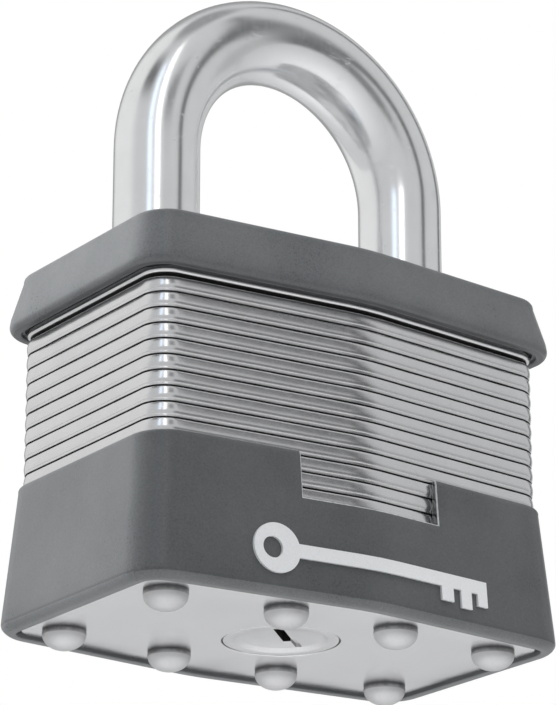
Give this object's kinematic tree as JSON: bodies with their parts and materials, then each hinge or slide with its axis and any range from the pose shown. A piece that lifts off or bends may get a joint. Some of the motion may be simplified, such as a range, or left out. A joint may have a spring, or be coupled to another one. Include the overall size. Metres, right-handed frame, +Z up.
{
  "type": "padlock",
  "caption": "Laminated steel padlock with a lifting round-bar shackle, a turning keyed plug, locking levers, and charcoal bumpers round the top and bottom.",
  "frame": {"origin": "middle of the body in plan, on the plane that the domed rivet heads under the bottom plate touch", "axes": "+Z up along the shackle legs, +X towards the toe leg of the shackle, -Y is the front face with the badge and the window in the jacket"},
  "size_m": [0.055, 0.036, 0.0767],
  "materials": {
    "polished_steel": "polished, with fine handling scratches",
    "plate_steel": "bright plated, slightly satin",
    "satin_steel": "fine satin plating",
    "rivet_steel": "fine satin plating",
    "cover": "satin, very finely textured",
    "badge": "silver, satin",
    "brass": "machined",
    "plug_metal": "plated, satin",
    "spring_steel": "drawn wire",
    "inner_steel": "machined, lightly oiled"
  },
  "bodies": {
    "housing": {"top_bumper": "cover", "bottom_bumper": "cover", "front_badge": "badge", "rivets": "rivet_steel", "bottom_plate": "satin_steel", "cylinder_plate_1": "plate_steel", "cylinder_plate_2": "plate_steel", "cylinder_plate_3": "plate_steel", "cylinder_plate_4": "plate_steel", "cylinder_plate_5": "plate_steel", "cylinder_plate_6": "plate_steel", "cylinder_plate_7": "plate_steel", "cylinder_plate_8": "plate_steel", "cylinder_plate_9": "plate_steel", "spacer_plate_1": "plate_steel", "spacer_plate_2": "plate_steel", "spacer_plate_3": "plate_steel", "spacer_plate_4": "plate_steel", "spacer_plate_5": "plate_steel", "spacer_plate_6": "plate_steel", "retainer_plate": "plate_steel", "spacer_plate_7": "plate_steel", "lever_plate_1": "plate_steel", "lever_plate_2": "plate_steel", "upper_plate_1": "plate_steel", "upper_plate_2": "plate_steel", "top_plate": "plate_steel", "cylinder_shell": "brass", "spring_cover": "brass", "driver_pins": "brass", "pin_springs": "spring_steel", "retainer_pin": "inner_steel"},
    "shackle": {"shackle": "polished_steel", "shackle_spring": "spring_steel"},
    "plug": {"plug": "plug_metal", "key_pins": "brass", "cam": "inner_steel"},
    "lever_left": {"lever_left": "inner_steel"},
    "lever_right": {"lever_right": "inner_steel"}
  },
  "joints": [
    {"name": "shackle_lift", "type": "slide", "parent": "housing", "child": "shackle", "axis": [0, 0, 1], "range_m": [0, 0.016], "deforming": ["shackle_spring"]},
    {"name": "plug_turn", "type": "hinge", "parent": "housing", "child": "plug", "pos_m": [0, 0, 0], "axis": [0, 0, 1], "range_deg": [0, 47]},
    {"name": "lever_left_turn", "type": "hinge", "parent": "housing", "child": "lever_left", "pos_m": [-0.0071, -0.011, 0], "axis": [0, 0, 1], "range_deg": [0, 11]},
    {"name": "lever_right_turn", "type": "hinge", "parent": "housing", "child": "lever_right", "pos_m": [0.0071, 0.011, 0], "axis": [0, 0, 1], "range_deg": [0, 11]}
  ],
  "couplings": [
    {"joint": "lever_left_turn", "follows": "plug_turn", "ratio": 0.23404},
    {"joint": "lever_right_turn", "follows": "plug_turn", "ratio": 0.23404}
  ]
}
